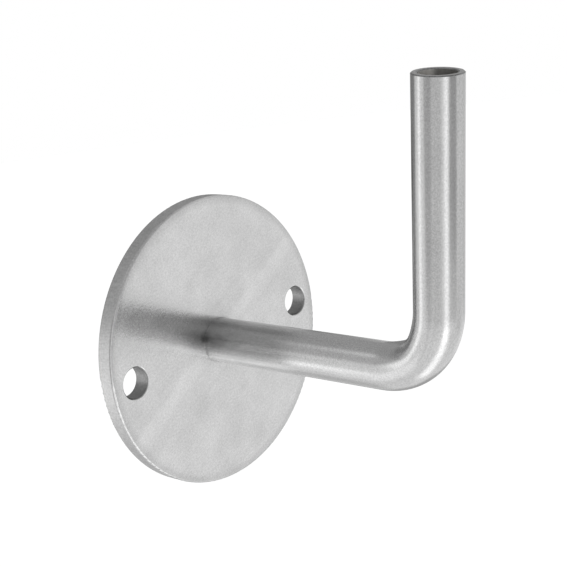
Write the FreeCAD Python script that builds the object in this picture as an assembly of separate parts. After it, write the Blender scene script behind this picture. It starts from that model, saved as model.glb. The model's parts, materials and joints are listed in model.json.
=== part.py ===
"""Handrail bracket: a round wall plate with two screw holes, and a bent round tube that stands out
of it and turns upwards, open at its free end for the handrail's saddle.

Millimetres. The plate's wall face lies in the plane Y = 0 with its centre at the origin, the arm
runs out from the wall along -Y, and the leg rises along +Z, leaning a little away from the wall.
"""
import FreeCAD, Part
import math
import os

# Wall plate
plate_diameter = 78.4
plate_thickness = 4.8
plate_edge_round = 0.5

# Screw holes in the wall plate
hole_count = 2
hole_diameter = 8.2
hole_margin = 7.55          # from the plate's rim to the middle of a hole
hole_line_turn = 2.9        # degrees between the line of the holes and level
hole_edge_break = 0.3

# Bent tube
tube_diameter = 12.0
tube_wall = 1.5
arm_reach = 76.4            # from the wall face to the corner where the two axes cross
leg_length = 71.0           # from that corner to the free end
bend_angle = 84.2           # degrees that the tube turns
bend_radius = 17.4          # of the tube's axis
bend_dip = 0.8              # how far the wall on the inside of the bend has sunk in
bend_bulge = 0.25           # how far each side of the tube has swelled there
dip_power = 4               # a higher power keeps dip and bulge nearer to the middle of the bend
bend_sections = 17          # sections that the bend is lofted through
tube_edge_break = 0.25      # inside and outside of the sawn free end

# Seat of the tube in the plate, and the weld that holds it on the wall side
seat_clearance = 0.1
weld_size = 1.6

UP = FreeCAD.Vector(0, 0, 1)
OUT = FreeCAD.Vector(0, -1, 0)
SIDE = FreeCAD.Vector(1, 0, 0)
ORIGIN = FreeCAD.Vector(0, 0, 0)

plate_radius = plate_diameter / 2
hole_radius = hole_diameter / 2
hole_circle_radius = plate_radius - hole_margin
tube_radius = tube_diameter / 2
bore_radius = tube_radius - tube_wall
seat_radius = tube_radius + seat_clearance
weld_radius = seat_radius + weld_size

bend_turn = math.radians(bend_angle)
tangent_length = bend_radius * math.tan(bend_turn / 2)
bend_start = OUT * (arm_reach - tangent_length)
bend_centre = bend_start + UP * bend_radius
leg_direction = OUT * math.cos(bend_turn) + UP * math.sin(bend_turn)
leg_start = OUT * arm_reach + leg_direction * tangent_length
leg_end = OUT * arm_reach + leg_direction * leg_length


def turned(profile):
    """Solid of revolution about the arm's axis, from (radius, distance out from the wall) pairs."""
    corners = [SIDE * radius + OUT * depth for radius, depth in profile]
    return Part.Face(Part.makePolygon(corners + corners[:1])).revolve(ORIGIN, OUT, 360)


def screw_hole(index):
    """Cutter for one screw hole, with its edge broken on both faces of the plate."""
    wide = hole_radius + hole_edge_break
    cutter = turned([
        (0, 0),
        (wide, 0),
        (hole_radius, hole_edge_break),
        (hole_radius, plate_thickness - hole_edge_break),
        (wide, plate_thickness),
        (0, plate_thickness),
    ])
    turn = math.radians(hole_line_turn) + 2 * math.pi * index / hole_count
    cutter.translate((SIDE * math.cos(turn) + UP * math.sin(turn)) * hole_circle_radius)
    return cutter


def make_wall_plate():
    """Disc with rounded rims, the two screw holes, and the tube's seat with its weld groove."""
    disc = Part.makeCylinder(plate_radius, plate_thickness, ORIGIN, OUT)
    rims = [edge for edge in disc.Edges if edge.isClosed()]
    disc = disc.makeFillet(plate_edge_round, rims)
    seat = turned([
        (0, 0),
        (weld_radius, 0),
        (seat_radius, weld_size),
        (seat_radius, plate_thickness),
        (0, plate_thickness),
    ])
    return disc.cut([seat] + [screw_hole(index) for index in range(hole_count)])


def bend_section(step, radius):
    """Section of the tube at one step of the bend: round at both ends of it, and between them an
    ellipse as wide as the tube has swelled and as low as its inner wall has sunk."""
    share = step / (bend_sections - 1)
    turn = bend_turn * share
    strength = math.sin(math.pi * share) ** dip_power
    half_dip = bend_dip * strength / 2
    ellipse = Part.Ellipse(ORIGIN, radius + bend_bulge * strength, radius - half_dip).toShape()
    ellipse.rotate(ORIGIN, SIDE, 90 - math.degrees(turn))
    outward = OUT * math.sin(turn) - UP * math.cos(turn)
    ellipse.translate(bend_centre + outward * (bend_radius + half_dip))
    return Part.Wire([ellipse])


def tube_core(radius):
    """Round bar along the whole axis of the tube: arm, bend and leg."""
    arm = Part.makeCylinder(radius, bend_start.Length, ORIGIN, OUT)
    sections = [bend_section(step, radius) for step in range(bend_sections)]
    bend = Part.makeLoft(sections, True, False)
    leg = Part.makeCylinder(radius, leg_end.distanceToPoint(leg_start), leg_start, leg_direction)
    return arm.fuse([bend, leg])


def make_bent_tube():
    """Hollow tube, its wall side flush with the plate and its sawn free end deburred."""
    tube = tube_core(tube_radius).cut(tube_core(bore_radius)).Solids[0]
    mouth = [
        edge for edge in tube.Edges
        if edge.isClosed() and edge.CenterOfMass.distanceToPoint(leg_end) < tube_edge_break
    ]
    return tube.makeChamfer(tube_edge_break, mouth)


def make_back_weld():
    """Ring of weld that fills the groove round the tube, ground flush with the wall face."""
    return turned([
        (tube_radius, 0),
        (weld_radius, 0),
        (seat_radius, weld_size),
        (tube_radius, weld_size),
    ])


parts = {
    "wall_plate": make_wall_plate(),
    "bent_tube": make_bent_tube(),
    "back_weld": make_back_weld(),
}

os.makedirs("parts", exist_ok=True)
for name, shape in parts.items():
    shape.exportStep(os.path.join("parts", name + ".step"))
    box = shape.BoundBox
    print(name, shape.ShapeType, "valid" if shape.isValid() else "INVALID", "solids", len(shape.Solids),
          "volume %.1f" % shape.Volume, "x %.2f %.2f" % (box.XMin, box.XMax),
          "y %.2f %.2f" % (box.YMin, box.YMax), "z %.2f %.2f" % (box.ZMin, box.ZMax))
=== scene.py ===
"""Looks of the handrail bracket: satin stainless steel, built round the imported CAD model.

Metres, in the CAD model's own frame: the wall face of the plate is the plane Y = 0, the arm comes
out along -Y, and the leg rises along +Z.
"""
import json
import math

import bmesh
import bpy
from mathutils import Matrix, Vector


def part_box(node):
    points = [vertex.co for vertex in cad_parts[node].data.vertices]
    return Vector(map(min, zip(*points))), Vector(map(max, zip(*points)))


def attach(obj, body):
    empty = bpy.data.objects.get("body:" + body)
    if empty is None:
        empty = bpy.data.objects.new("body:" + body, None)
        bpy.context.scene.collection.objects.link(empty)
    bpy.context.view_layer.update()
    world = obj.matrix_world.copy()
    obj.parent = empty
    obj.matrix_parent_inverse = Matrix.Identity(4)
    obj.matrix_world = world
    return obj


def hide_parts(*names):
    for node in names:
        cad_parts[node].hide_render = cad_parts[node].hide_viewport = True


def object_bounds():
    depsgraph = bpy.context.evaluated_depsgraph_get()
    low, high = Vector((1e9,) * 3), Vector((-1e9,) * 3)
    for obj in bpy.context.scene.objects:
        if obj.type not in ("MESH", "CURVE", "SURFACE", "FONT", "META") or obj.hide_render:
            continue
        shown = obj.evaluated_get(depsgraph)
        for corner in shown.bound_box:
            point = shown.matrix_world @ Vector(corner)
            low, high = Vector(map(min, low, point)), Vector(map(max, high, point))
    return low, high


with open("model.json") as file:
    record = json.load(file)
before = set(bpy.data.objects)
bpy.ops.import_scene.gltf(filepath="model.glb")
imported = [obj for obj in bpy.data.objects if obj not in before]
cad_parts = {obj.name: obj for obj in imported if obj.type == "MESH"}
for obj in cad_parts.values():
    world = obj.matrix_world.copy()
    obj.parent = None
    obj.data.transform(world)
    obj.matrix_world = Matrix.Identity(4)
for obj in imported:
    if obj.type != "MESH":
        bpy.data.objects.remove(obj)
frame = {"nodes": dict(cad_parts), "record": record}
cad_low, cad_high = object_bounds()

MM = 0.001
UP = Vector((0, 0, 1))
OUT = Vector((0, -1, 0))
SIDE = Vector((1, 0, 0))

# ---------------------------------------------------------------- sizes, from the frame
mounts = {mount["name"]: mount for mount in frame["record"]["mounts"]}
plate_low, plate_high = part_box("wall_plate")
plate_radius = (plate_high.x - plate_low.x) / 2
plate_thickness = plate_high.y - plate_low.y
hole_circle_radius = mounts["screw_holes"]["dims"]["pcd_mm"] * MM / 2
hole_radius = mounts["screw_holes"]["dims"]["hole_r_mm"] * MM
tube_radius = mounts["tube_outside"]["dims"]["r_mm"] * MM
bore_radius = mounts["spigot_bore"]["dims"]["r_mm"] * MM
arm_length = mounts["arm_bore"]["dims"]["length_mm"] * MM
leg_direction = Vector(mounts["saddle_seat"]["axis"]).normalized()
leg_end = Vector(mounts["saddle_seat"]["pos_m"])
leg_end.x = 0
corner = leg_end - leg_direction * (leg_end.z / leg_direction.z)
arm_reach = -corner.y
bend_turn = math.atan2(leg_direction.z, -leg_direction.y)
tangent_length = arm_reach - arm_length
bend_radius = tangent_length / math.tan(bend_turn / 2)
bend_centre = OUT * arm_length + UP * bend_radius
leg_start = corner + leg_direction * tangent_length
leg_length = (leg_end - leg_start).length

# ---------------------------------------------------------------- sizes that only the source knows
BEND_DIP = 0.8 * MM
BEND_BULGE = 0.25 * MM
DIP_POWER = 4
MOUTH_BREAK = 0.25 * MM
HOLE_LINE_TURN = math.radians(2.9)
SEAT_CLEARANCE = 0.1 * MM

# ---------------------------------------------------------------- sizes that only the looks have
FOOT_LENGTH = 0.6 * MM      # over which the tube's foot thins from the plate's hole to its own size
FOOT_FILL = 0.9             # share of the seat's clearance that the foot fills
TUBE_SIDES = 128


# ---------------------------------------------------------------- meshes
def new_piece(name, mesh_builder):
    """Object from a bmesh, smooth shaded."""
    mesh = bpy.data.meshes.new(name)
    mesh_builder.to_mesh(mesh)
    mesh_builder.free()
    piece = bpy.data.objects.new(name, mesh)
    bpy.context.scene.collection.objects.link(piece)
    for polygon in mesh.polygons:
        polygon.use_smooth = True
    return piece


def tube_stations():
    """Stations along the tube's axis: (centre, inward, strength of the dip, distance run)."""
    stations = []
    foot_steps, arm_steps, bend_steps, leg_steps = 6, 60, 72, 56
    foot_end = plate_thickness + FOOT_LENGTH
    foot_runs = [plate_thickness + FOOT_LENGTH * step / foot_steps for step in range(foot_steps)]
    arm_runs = [foot_end + (arm_length - foot_end) * step / arm_steps for step in range(arm_steps)]
    for run in (0.0, plate_thickness / 2, *foot_runs, *arm_runs):
        stations.append((OUT * run, UP, 0.0, run))
    for step in range(bend_steps):
        share = step / bend_steps
        turn = bend_turn * share
        inward = UP * math.cos(turn) - OUT * math.sin(turn)
        strength = math.sin(math.pi * share) ** DIP_POWER
        centre = bend_centre - inward * (bend_radius + BEND_DIP * strength / 2)
        stations.append((centre, inward, strength, arm_length + bend_radius * turn))
    leg_inward = UP * math.cos(bend_turn) - OUT * math.sin(bend_turn)
    bend_end = arm_length + bend_radius * bend_turn
    for step in range(leg_steps + 1):
        run = (leg_length - MOUTH_BREAK) * step / leg_steps
        stations.append((leg_start + leg_direction * run, leg_inward, 0.0, bend_end + run))
    return stations


def outer_radius(run):
    """Tube's outer radius: its foot nearly fills the plate's hole and thins out just above the face."""
    above = min(max((run - plate_thickness) / FOOT_LENGTH, 0.0), 1.0)
    return tube_radius + FOOT_FILL * SEAT_CLEARANCE * (1 - above) ** 2


def tube_ring(builder, centre, inward, strength, radius):
    """Vertices round the tube at one station: lower and wider where the bend has dipped."""
    wide = radius + BEND_BULGE * strength
    tall = radius - BEND_DIP * strength / 2
    angles = [2 * math.pi * index / TUBE_SIDES for index in range(TUBE_SIDES)]
    return [builder.verts.new(centre + inward * (tall * math.cos(angle)) + SIDE * (wide * math.sin(angle)))
            for angle in angles]


def make_tube(stations):
    """The bent tube with its bore: one closed skin, swept over the stations, with the mouth's two
    broken edges and its sawn face between them. Its materials are outside 0, ends 1, bore 2."""
    _, inward, _, tube_length = stations[-1]
    mouth = (leg_end, inward, 0.0, tube_length + MOUTH_BREAK)
    rings = [(*station, outer_radius(station[3])) for station in stations]
    rings.append((*mouth, tube_radius - MOUTH_BREAK))
    rings.append((*mouth, bore_radius + MOUTH_BREAK))
    rings += [(*station, bore_radius) for station in reversed(stations)]
    builder = bmesh.new()
    uv = builder.loops.layers.uv.new("UVMap")
    grid = [tube_ring(builder, centre, inward, strength, radius)
            for centre, inward, strength, _, radius in rings]
    ends = (*range(len(stations) - 1, len(stations) + 2), len(grid) - 1)
    for row, ring in enumerate(grid):
        after = (row + 1) % len(grid)
        next_ring = grid[after]
        run_here, run_after = rings[row][3] / tube_length, rings[after][3] / tube_length
        for index in range(TUBE_SIDES):
            following = (index + 1) % TUBE_SIDES
            face = builder.faces.new((ring[index], next_ring[index], next_ring[following], ring[following]))
            face.material_index = 1 if row in ends else 0 if row < len(stations) else 2
            corners = ((index, run_here), (index, run_after), (index + 1, run_after), (index + 1, run_here))
            for loop, (place_round, place_along) in zip(face.loops, corners):
                loop[uv].uv = (place_round / TUBE_SIDES, place_along)
            if row in ends:
                builder.edges.get((ring[index], ring[following])).smooth = False
                builder.edges.get((next_ring[index], next_ring[following])).smooth = False
    bmesh.ops.recalc_face_normals(builder, faces=builder.faces)
    return new_piece("bent_tube_skin", builder)


stations = tube_stations()
tube = make_tube(stations)
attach(tube, "root")
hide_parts("bent_tube")

# ---------------------------------------------------------------- finish, and painted shade and light
# The materials work in millimetres on the object. A level is how much light the steel throws back,
# and a share is what a level is multiplied by.
plate_edge = plate_radius / MM
plate_face = plate_thickness / MM
hole_edge = hole_radius / MM
tube_edge = tube_radius / MM
tube_run = stations[-1][3] / MM

# Plate. A band is two distances outside an edge, between which a finish or painted shade sets in or fades
# out.
SANDING_TURN = 30           # degrees by which the sanding marks rise towards +X
PAINTED_SHEEN = (0.5, 3.5)      # painted highlight, a lighter streak along the sanding marks: its half width, and where it has faded out
PAINTED_SHEEN_LIGHTER = 0.05
CUT_LINES = 90.0            # lines per radian round the rim
RIM_BAND = (-0.28, -0.05)
MATT_BAND = (-1.4, -0.4)    # the rim's roughness reaches further in than its colour
EDGE_BAND = (-3.0, -0.6)
EDGE_PAINTED_SHADE = 0.86           # painted shade on the face along the rim
WORN_WIDTH = 5.0            # how far in from the rim the face falls away
WORN_DEPTH = 0.08
HOLE_BAND = (0.05, 0.3)
JOINT_BAND = (-1, 6)
JOINT_PAINTED_SHADE = 0.84          # painted shade on the face at the tube
JOINT_LINE_BAND = (0.1, 0.8)
JOINT_LINE_SHARE = 0.82     # dark joint line where the tube meets the face, on top of the painted shade
JOINT_LOW = (-7.0, -3.5)    # heights between which the painted shade at the joint sets in
HEAT_BAND = (2, 8)
HEAT_RAGGED = 8.0
WALL_SIDE = (-0.6, -0.2)    # depths between which the wall side sets in
GREEN_LOSS = 0.07
BLUE_LOSS = 0.20

# Tube
FOOT_PAINTED_SHADE = 0.22          # painted shade at the plate, except on the underside
FOOT_FADE = 16
UNDERSIDE = (-3.7, -2.3)    # heights between which the underside ends
UNDERSIDE_PAINTED_HIGHLIGHT = 0.36    # painted highlight at the plate
UNDERSIDE_FADE = 42
BORE_SIDE = (0.5, 0.85)     # shares of the radius towards +X between which painted shade darkens the bore
BORE_PAINTED_SHADE = 0.32

# Painted shade on both: a dark smear at the joint
PAINTED_SMEAR_SHARE = 0.42          # painted shade in its middle
PAINTED_SMEAR_RADIUS = 2.6
PAINTED_SMEAR_RISE = 2.0            # above the arm's axis
PAINTED_SMEAR_STRETCH = 7.0         # how much longer the painted smear is along the arm than across
PAINTED_SMEAR_RAGGED = 2.0
PAINTED_SMEAR_PLACE = Vector((-math.sqrt(tube_radius ** 2 - (PAINTED_SMEAR_RISE * MM) ** 2), -plate_thickness,
                      PAINTED_SMEAR_RISE * MM)) / MM


class Graph:
    """Nodes of a new material or world, with short names for the ones that are used again."""

    def __init__(self, owner):
        owner.use_nodes = True
        self.owner = owner
        self.nodes = owner.node_tree.nodes
        self.links = owner.node_tree.links

    def feed(self, socket, value):
        """Link an output to the socket, or write a plain value on it."""
        if isinstance(value, bpy.types.NodeSocket):
            self.links.new(value, socket)
        else:
            socket.default_value = value

    def math(self, operation, first, second=0.0):
        node = self.nodes.new("ShaderNodeMath")
        node.operation = operation
        self.feed(node.inputs[0], first)
        self.feed(node.inputs[1], second)
        return node.outputs[0]

    def times(self, first, second):
        return self.math("MULTIPLY", first, second)

    def total(self, *values):
        result = values[0]
        for value in values[1:]:
            result = self.math("ADD", result, value)
        return result

    def varied(self, base, *patterns):
        """Base value with patterns added to it, each given as (pattern, strength)."""
        return self.total(base, *[self.times(pattern, strength) for pattern, strength in patterns])

    def split(self, vector):
        node = self.nodes.new("ShaderNodeSeparateXYZ")
        self.links.new(vector, node.inputs[0])
        return node.outputs[0], node.outputs[1], node.outputs[2]

    def join(self, x, y, z):
        node = self.nodes.new("ShaderNodeCombineXYZ")
        for socket, value in zip(node.inputs, (x, y, z)):
            self.feed(socket, value)
        return node.outputs[0]

    def length(self, vector):
        node = self.nodes.new("ShaderNodeVectorMath")
        node.operation = "LENGTH"
        self.links.new(vector, node.inputs[0])
        return node.outputs["Value"]

    def millimetres(self):
        """Place on the object, in millimetres."""
        node = self.nodes.new("ShaderNodeVectorMath")
        node.operation = "SCALE"
        self.links.new(self.nodes.new("ShaderNodeTexCoord").outputs["Object"], node.inputs[0])
        node.inputs["Scale"].default_value = 1 / MM
        return node.outputs[0]

    def noise(self, vector, stretch=(1, 1, 1), turn=0.0, detail=2.0):
        """Noise about zero, from -0.5 to 0.5. Stretch gives its cells per millimetre along each axis,
        and turn, in degrees, swings it round Y first."""
        turned = self.nodes.new("ShaderNodeVectorRotate")
        turned.rotation_type = "Y_AXIS"
        self.links.new(vector, turned.inputs["Vector"])
        turned.inputs["Angle"].default_value = math.radians(turn)
        scaled = self.nodes.new("ShaderNodeVectorMath")
        scaled.operation = "MULTIPLY"
        self.links.new(turned.outputs[0], scaled.inputs[0])
        scaled.inputs[1].default_value = stretch
        node = self.nodes.new("ShaderNodeTexNoise")
        node.inputs["Scale"].default_value = 1
        node.inputs["Detail"].default_value = detail
        self.links.new(scaled.outputs[0], node.inputs["Vector"])
        return self.math("SUBTRACT", node.outputs[0], 0.5)

    def ramp(self, value, low, high, to_low=0.0, to_high=1.0, kind="LINEAR"):
        """Straight change from one value at low to another at high, level beyond them."""
        node = self.nodes.new("ShaderNodeMapRange")
        node.interpolation_type = kind
        self.feed(node.inputs["Value"], value)
        for socket, number in zip(("From Min", "From Max", "To Min", "To Max"),
                                  (low, high, to_low, to_high)):
            self.feed(node.inputs[socket], number)
        return node.outputs["Result"]

    def step(self, value, low, high, to_low=0.0, to_high=1.0):
        """The same as a ramp, with soft ends."""
        return self.ramp(value, low, high, to_low, to_high, kind="SMOOTHSTEP")

    def band(self, value, edge, distances, to_low=0.0, to_high=1.0):
        """Step between two distances outside an edge."""
        start, end = distances
        return self.step(value, edge + start, edge + end, to_low, to_high)

    def blend(self, factor, first, second):
        node = self.nodes.new("ShaderNodeMix")
        self.feed(node.inputs[0], factor)
        self.feed(node.inputs[2], first)
        self.feed(node.inputs[3], second)
        return node.outputs[0]

    def grey(self, level, tint=(1.0, 1.0, 1.0)):
        """Colour from a level and a tint."""
        return self.join(*[self.times(level, share) for share in tint])

    def steel(self, colour, roughness, height):
        """Finish the material as bare metal. Height is in millimetres."""
        shader = self.nodes["Principled BSDF"]
        shader.inputs["Metallic"].default_value = 1
        self.feed(shader.inputs["Base Color"], colour)
        self.feed(shader.inputs["Roughness"], roughness)
        bump = self.nodes.new("ShaderNodeBump")
        bump.inputs["Distance"].default_value = MM
        self.links.new(height, bump.inputs["Height"])
        self.links.new(bump.outputs[0], shader.inputs["Normal"])
        return self.owner


# ---------------------------------------------------------------- materials
def joint_painted_smear(graph, place):
    """Share of painted shade in a dark smear on the -X side of the joint, 1 away from it."""
    # painted shade: a dark smear at the joint's -X side, used on the plate and on the tube
    x, y, z = graph.split(place)
    offset = graph.join(graph.math("SUBTRACT", x, PAINTED_SMEAR_PLACE.x),
                        graph.math("DIVIDE", graph.math("SUBTRACT", y, PAINTED_SMEAR_PLACE.y), PAINTED_SMEAR_STRETCH),
                        graph.math("SUBTRACT", z, PAINTED_SMEAR_PLACE.z))
    ragged = graph.varied(graph.length(offset), (graph.noise(place, (0.8, 0.3, 0.8)), PAINTED_SMEAR_RAGGED))
    return graph.step(ragged, 0.0, PAINTED_SMEAR_RADIUS, PAINTED_SMEAR_SHARE, 1.0)


def hole_walls(graph, x, z):
    """1 on the walls and broken edges of the screw holes, 0 on the rest of the plate."""
    walls = 0.0
    for side in (-1, 1):
        hole_x = side * hole_circle_radius / MM * math.cos(HOLE_LINE_TURN)
        hole_z = side * hole_circle_radius / MM * math.sin(HOLE_LINE_TURN)
        offset = graph.join(graph.math("SUBTRACT", x, hole_x), graph.math("SUBTRACT", z, hole_z), 0.0)
        wall = graph.band(graph.length(offset), hole_edge, HOLE_BAND, 1.0, 0.0)
        walls = graph.math("MAXIMUM", wall, walls)
    return walls


def face_painted_shade(graph, radius, z):
    """Painted shade on the plate's face: darker round the joint, except low down, and along the rim."""
    # painted shade round the joint, with the dark joint line at the tube; both are left out below the arm
    painted_joint_shade = graph.times(graph.band(radius, tube_edge, JOINT_BAND, JOINT_PAINTED_SHADE, 1.0),
                         graph.band(radius, tube_edge, JOINT_LINE_BAND, JOINT_LINE_SHARE, 1.0))
    painted_joint_shade = graph.blend(graph.step(z, *JOINT_LOW), 1.0, painted_joint_shade)
    # painted shade along the rim
    return graph.times(painted_joint_shade, graph.band(radius, plate_edge, EDGE_BAND, 1.0, EDGE_PAINTED_SHADE))


def weld_tint(graph, radius, y, cloud):
    """Straw tint that welding leaves round the tube on the wall side."""
    spread = graph.varied(radius, (cloud, HEAT_RAGGED))
    heat = graph.times(graph.step(y, *WALL_SIDE), graph.band(spread, tube_edge, HEAT_BAND, 1.0, 0.0))
    green, blue = [graph.math("SUBTRACT", 1.0, graph.times(heat, loss)) for loss in (GREEN_LOSS, BLUE_LOSS)]
    return 1.0, green, blue


def plate_steel():
    """Sanded face with marks in one direction and a painted highlight streak along them, painted shade
    round the joint and along the edge, a matt cut rim, dark hole walls, and the weld's tint on the wall
    side."""
    graph = Graph(bpy.data.materials.new("plate_steel"))
    place = graph.millimetres()
    x, y, z = graph.split(place)
    radius = graph.math("SQRT", graph.total(graph.math("POWER", x, 2.0), graph.math("POWER", z, 2.0)))
    grain = graph.noise(place, (1.9, 1.9, 1.9))
    drawn = graph.noise(place, (0.10, 1.0, 0.9), turn=SANDING_TURN, detail=3.0)
    cloud = graph.noise(place, (0.13, 0.13, 0.13), detail=3.0)
    marks = graph.varied(grain, (drawn, 0.25))
    round_the_rim = graph.times(graph.math("ARCTAN2", z, x), CUT_LINES)
    cut_lines = graph.noise(graph.join(round_the_rim, graph.times(y, 0.3), 0.0))

    # painted highlight: a lighter streak across the face, running along the sanding marks
    sanding = math.radians(SANDING_TURN)
    across = graph.varied(1.0, (x, math.sin(sanding)), (z, -math.cos(sanding)), (cloud, 6.0))
    painted_sheen = graph.step(graph.math("ABSOLUTE", across), *PAINTED_SHEEN, PAINTED_SHEEN_LIGHTER, 0.0)
    face_level = graph.total(graph.varied(0.66, (marks, 0.28), (cloud, 0.20)), painted_sheen)
    # painted shade round the joint and along the rim, times the painted smear at the joint
    shade = graph.times(face_painted_shade(graph, radius, z), joint_painted_smear(graph, place))
    rim_level = graph.varied(0.46, (cut_lines, 0.20), (grain, 0.28))
    wall_level = graph.varied(0.24, (grain, 0.20))
    rim = graph.band(radius, plate_edge, RIM_BAND)
    walls = hole_walls(graph, x, z)
    level = graph.blend(walls, graph.blend(rim, graph.times(face_level, shade), rim_level), wall_level)

    matt = graph.math("MAXIMUM", walls, graph.band(radius, plate_edge, MATT_BAND))
    roughness = graph.blend(matt, graph.varied(0.18, (marks, 0.12), (cloud, 0.10)),
                            graph.varied(0.36, (cut_lines, 0.16)))
    worn_edge = graph.math("POWER", graph.ramp(radius, plate_edge - WORN_WIDTH, plate_edge), 3.0)
    height = graph.total(graph.times(marks, 0.01), graph.times(worn_edge, -WORN_DEPTH))
    return graph.steel(graph.grey(level, weld_tint(graph, radius, y, cloud)), roughness, height)


def around_and_along(graph):
    """Place on the unrolled tube in millimetres, bent back round so that it has no seam."""
    around, along, _ = graph.split(graph.nodes.new("ShaderNodeTexCoord").outputs["UV"])
    turn = graph.times(around, 2 * math.pi)
    return graph.join(graph.times(graph.math("COSINE", turn), tube_edge),
                      graph.times(graph.math("SINE", turn), tube_edge),
                      graph.times(along, tube_run))


def foot_painted_light(graph, run, rise):
    """Painted light where the tube leaves the plate: painted shade on the foot, and a longer painted
    highlight along the underside.
    """
    under = graph.step(rise, *UNDERSIDE, 1.0, 0.0)
    foot = graph.step(run, plate_face, plate_face + FOOT_FADE, 1.0, 0.0)
    underside = graph.step(run, plate_face, plate_face + UNDERSIDE_FADE, 1.0, 0.0)
    # painted shade on the foot, except on its underside
    darker = graph.times(graph.times(foot, -FOOT_PAINTED_SHADE), graph.math("SUBTRACT", 1.0, under))
    # painted highlight along the underside near the plate
    lighter = graph.times(graph.times(underside, UNDERSIDE_PAINTED_HIGHLIGHT), under)
    return graph.total(1.0, darker, lighter)


def tube_steel():
    """Satin tube: fine marks and drawn lines that run along it, slight waviness, and painted shade and
    highlight at its foot and the joint.
    """
    graph = Graph(bpy.data.materials.new("tube_steel"))
    place = around_and_along(graph)
    grain = graph.noise(place, (2.8, 2.8, 2.4))
    drawn = graph.noise(place, (1.2, 1.2, 0.03), detail=3.0)
    cloud = graph.noise(place, (0.16, 0.16, 0.06))
    marks = graph.varied(grain, (drawn, 0.3))
    _, _, run = graph.split(place)
    space = graph.millimetres()
    _, _, rise = graph.split(space)
    # painted shade and highlight at the foot, times the painted smear at the joint
    shade = graph.times(foot_painted_light(graph, run, rise), joint_painted_smear(graph, space))
    level = graph.times(graph.varied(0.525, (marks, 0.30), (cloud, 0.10)), shade)
    roughness = graph.varied(0.22, (marks, 0.02), (cloud, 0.06))
    height = graph.total(graph.times(marks, 0.001), graph.times(cloud, 0.02))
    return graph.steel(graph.grey(level), roughness, height)


def sawn_steel():
    """Sawn ends of the tube: duller, with straight saw marks."""
    graph = Graph(bpy.data.materials.new("sawn_steel"))
    place = graph.millimetres()
    saw = graph.noise(place, (0.2, 5.0, 5.0), turn=20, detail=3.0)
    grain = graph.noise(place, (4.0, 4.0, 4.0))
    level = graph.varied(0.24, (saw, 0.50), (grain, 0.25))
    roughness = graph.varied(0.46, (saw, 0.2))
    return graph.steel(graph.grey(level), roughness, graph.times(saw, 0.03))


def bore_steel():
    """Inside of the tube: unpolished, with drawn lines, and painted shade on its +X side."""
    graph = Graph(bpy.data.materials.new("bore_steel"))
    place = around_and_along(graph)
    drawn = graph.noise(place, (1.5, 1.5, 0.05), detail=3.0)
    grain = graph.noise(place, (2.0, 2.0, 1.0))
    _, side, _ = graph.split(place)
    dark_from, dark_to = [share * tube_edge for share in BORE_SIDE]
    # painted shade on one side of the bore
    shade = graph.step(side, dark_from, dark_to, 1.0, BORE_PAINTED_SHADE)
    level = graph.times(graph.varied(0.88, (drawn, 0.30), (grain, 0.30)), shade)
    roughness = graph.varied(0.50, (drawn, 0.2))
    return graph.steel(graph.grey(level, (1.0, 0.98, 0.95)), roughness, graph.times(drawn, 0.03))


def weld_steel():
    """Ground weld: coarse grinding marks with a faint straw tint."""
    graph = Graph(bpy.data.materials.new("weld_steel"))
    place = graph.millimetres()
    ground = graph.noise(place, (0.3, 2.0, 3.2), turn=35, detail=4.0)
    pits = graph.noise(place, (1.4, 1.4, 1.4), detail=3.0)
    level = graph.varied(0.56, (ground, 0.40), (pits, 0.40))
    roughness = graph.varied(0.34, (ground, 0.2), (pits, 0.2))
    height = graph.times(graph.total(ground, pits), 0.05)
    return graph.steel(graph.grey(level, (1.0, 0.96, 0.88)), roughness, height)


frame["nodes"]["wall_plate"].data.materials[0] = plate_steel()
frame["nodes"]["back_weld"].data.materials[0] = weld_steel()
for steel in (tube_steel(), sawn_steel(), bore_steel()):
    tube.data.materials.append(steel)

# ---------------------------------------------------------------- camera
# Azimuth 0 is straight out from the wall and 90 is +X. Angles are in degrees, here and below.
CAMERA_AZIMUTH = -47.06
CAMERA_ELEVATION = 15.11
CAMERA_ROLL = -7.21
CAMERA_DISTANCE = 0.3221
CAMERA_LENS = 80.39
CAMERA_TARGET = Vector((0, -0.03053, 0.0181))


def toward(azimuth, elevation):
    """Direction from the bracket."""
    azimuth, elevation = math.radians(azimuth), math.radians(elevation)
    return Vector((math.sin(azimuth) * math.cos(elevation), -math.cos(azimuth) * math.cos(elevation),
                   math.sin(elevation)))


def stand(thing, place, right, above, back):
    """Put a camera or lamp at a place, looking away from back."""
    turned = Matrix((right, above, back)).transposed().to_4x4()
    thing.matrix_world = Matrix.Translation(place) @ turned
    bpy.context.scene.collection.objects.link(thing)


def make_camera():
    azimuth, roll = math.radians(CAMERA_AZIMUTH), math.radians(CAMERA_ROLL)
    back = toward(CAMERA_AZIMUTH, CAMERA_ELEVATION)
    right = Vector((math.cos(azimuth), math.sin(azimuth), 0))
    above = back.cross(right)
    rolled_right = right * math.cos(roll) + above * math.sin(roll)
    rolled_above = above * math.cos(roll) - right * math.sin(roll)
    data = bpy.data.cameras.new("camera")
    data.lens = CAMERA_LENS
    data.sensor_width = 36
    data.clip_start = 0.01
    camera = bpy.data.objects.new("camera", data)
    stand(camera, CAMERA_TARGET + back * CAMERA_DISTANCE, rolled_right, rolled_above, back)
    bpy.context.scene.camera = camera


make_camera()

# ---------------------------------------------------------------- world, floor
WORLD_LIGHT = 0.6           # the world's strength as light, while its strength as background is 1
FLOOR_DROP = 0.75           # how far the floor lies below the bracket
FLOOR_RADIUS = 6.0
FLOOR_GLOW = 0.52           # what lifts the pale floor to white


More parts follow.
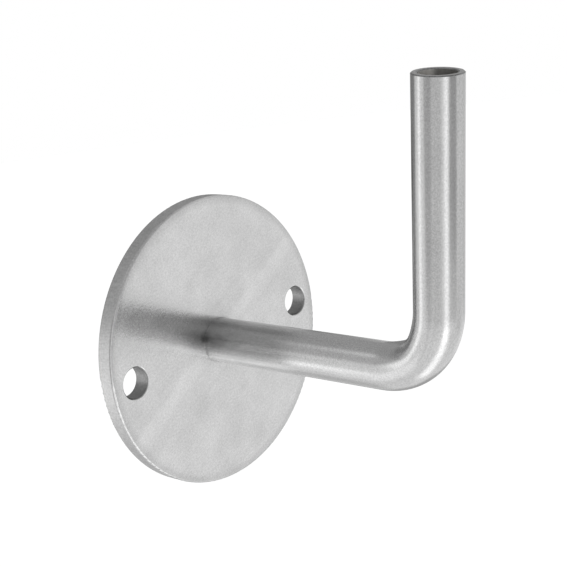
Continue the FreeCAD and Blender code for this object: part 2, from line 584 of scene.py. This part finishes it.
def shows_background(graph):
    """1 for camera, glossy and transmission rays, else 0."""
    path = graph.nodes.new("ShaderNodeLightPath")
    seen = graph.math("MAXIMUM", path.outputs["Is Camera Ray"], path.outputs["Is Glossy Ray"])
    return graph.math("MAXIMUM", seen, path.outputs["Is Transmission Ray"])


def make_world():
    world = bpy.data.worlds.new("studio")
    graph = Graph(world)
    background = graph.nodes["Background"]
    background.inputs["Color"].default_value = (1, 1, 1, 1)
    strength = graph.ramp(shows_background(graph), 0.0, 1.0, WORLD_LIGHT, 1.0)
    graph.feed(background.inputs["Strength"], strength)
    bpy.context.scene.world = world


def make_floor():
    """Pale round floor that shows white and keeps the bracket's shadow."""
    builder = bmesh.new()
    bmesh.ops.create_circle(builder, cap_ends=True, segments=96, radius=FLOOR_RADIUS,
                            matrix=Matrix.Translation((0, 0, cad_low.z - FLOOR_DROP)))
    floor = new_piece("floor", builder)
    graph = Graph(bpy.data.materials.new("pale_floor"))
    shader = graph.nodes["Principled BSDF"]
    shader.inputs["Base Color"].default_value = (0.86, 0.86, 0.86, 1)
    shader.inputs["Roughness"].default_value = 0.9
    shader.inputs["Emission Color"].default_value = (1, 1, 1, 1)
    glow = graph.ramp(shows_background(graph), 0.0, 1.0, 0.0, FLOOR_GLOW)
    graph.feed(shader.inputs["Emission Strength"], glow)
    floor.data.materials.append(graph.owner)


make_world()
make_floor()

# ---------------------------------------------------------------- lamps and cards
STUDIO_CENTRE = Vector((0, -0.04, 0.0))
LAMP_DISTANCE = 0.5
CARD_DISTANCE = 0.65
CARD_STEP = 0.01            # each card stands this much nearer than the one before it
CARD_FADE = 8.0             # degrees over which a card's edge fades out
NEAR_POLE = 89.9            # how high or low a card may reach
# Azimuth, elevation, width and height, then how bright it is.
LAMPS = {
    "front_strip": (-21, -18, 17, 50, 0.54),
    "low_wide": (-20, -60, 30, 62, 0.36),
    "low_strip": (-20, -62, 19, 56, 0.46),
    "low_core": (-20, -62, 10, 50, 0.60),
    "side_strip": (-141, -12, 14, 38, 0.68),
    "side_low": (-124, -32, 34, 30, 0.28),
}
CARDS = {
    "overhead": (0, 78, 360, 40, 0.60),
    "camera_side": (-98, 17, 42, 80, 0.56),
    "camera_low": (-60, -10, 44, 40, 0.78),
    "front": (8, 2, 44, 56, 0.48),
    "front_high": (-35, 41, 100, 66, 0.58),
    "right_high": (20, 44, 44, 60, 0.44),
    "right_edge": (58, 40, 44, 56, 0.72),
    "plate_side": (46, -8, 40, 60, 0.90),
    "right_side": (90, 10, 60, 70, 0.80),
    "back_high": (168, 35, 92, 60, 0.47),
    "back_low": (158, -8, 74, 56, 0.30),
    "back_dark": (151, -14, 36, 28, 0.05),
    "back_side": (-136, 27, 36, 34, 0.62),
    "low_back": (118, -47, 54, 38, 0.50),
    "low_rear": (168, -47, 54, 34, 0.70),
}


def make_lamp(name, azimuth, elevation, width, height, radiance):
    back = toward(azimuth, elevation)
    data = bpy.data.lights.new(name, "AREA")
    data.shape = "RECTANGLE"
    data.size = 2 * LAMP_DISTANCE * math.tan(math.radians(width) / 2)
    data.size_y = 2 * LAMP_DISTANCE * math.tan(math.radians(height) / 2)
    data.energy = radiance * math.pi * data.size * data.size_y
    lamp = bpy.data.objects.new(name, data)
    lamp.visible_camera = False
    right = UP.cross(back).normalized()
    stand(lamp, STUDIO_CENTRE + back * LAMP_DISTANCE, right, back.cross(right), back)


def card_material(name, width, height, brightness):
    """Plain glowing card whose edges fade out."""
    graph = Graph(bpy.data.materials.new(name))
    graph.nodes.remove(graph.nodes["Principled BSDF"])
    across, up, _ = graph.split(graph.nodes.new("ShaderNodeTexCoord").outputs["UV"])
    fade = graph.step(graph.math("PINGPONG", up, 0.5), 0.0, CARD_FADE / height)
    if width < 360:
        sides = graph.step(graph.math("PINGPONG", across, 0.5), 0.0, CARD_FADE / width)
        fade = graph.times(fade, sides)
    glow = graph.nodes.new("ShaderNodeEmission")
    glow.inputs["Strength"].default_value = brightness
    mix = graph.nodes.new("ShaderNodeMixShader")
    graph.links.new(fade, mix.inputs[0])
    graph.links.new(graph.nodes.new("ShaderNodeBsdfTransparent").outputs[0], mix.inputs[1])
    graph.links.new(glow.outputs[0], mix.inputs[2])
    graph.links.new(mix.outputs[0], graph.nodes["Material Output"].inputs["Surface"])
    return graph.owner


def make_card(order, name, azimuth, elevation, width, height, brightness):
    """Curved card round the bracket, seen only in reflections."""
    columns, rows = 24, 12
    distance = CARD_DISTANCE - CARD_STEP * order
    builder = bmesh.new()
    uv = builder.loops.layers.uv.new("UVMap")
    grid = []
    for row in range(rows + 1):
        level = min(max(elevation + height * (row / rows - 0.5), -NEAR_POLE), NEAR_POLE)
        grid.append([builder.verts.new(
            STUDIO_CENTRE + toward(azimuth + width * (column / columns - 0.5), level) * distance)
            for column in range(columns + 1)])
    for row in range(rows):
        for column in range(columns):
            corners = ((column, row), (column + 1, row), (column + 1, row + 1), (column, row + 1))
            face = builder.faces.new([grid[up][across] for across, up in corners])
            for loop, (across, up) in zip(face.loops, corners):
                loop[uv].uv = (across / columns, up / rows)
    card = new_piece(name, builder)
    card.data.materials.append(card_material(name, width, height, brightness))
    card.visible_camera = False
    card.visible_diffuse = False
    card.visible_transmission = False
    card.visible_shadow = False


for lamp_name, lamp_values in LAMPS.items():
    make_lamp(lamp_name, *lamp_values)
for card_order, (card_name, card_values) in enumerate(CARDS.items()):
    make_card(card_order, "card_" + card_name, *card_values)

scene = bpy.context.scene
scene.view_settings.view_transform = "Standard"
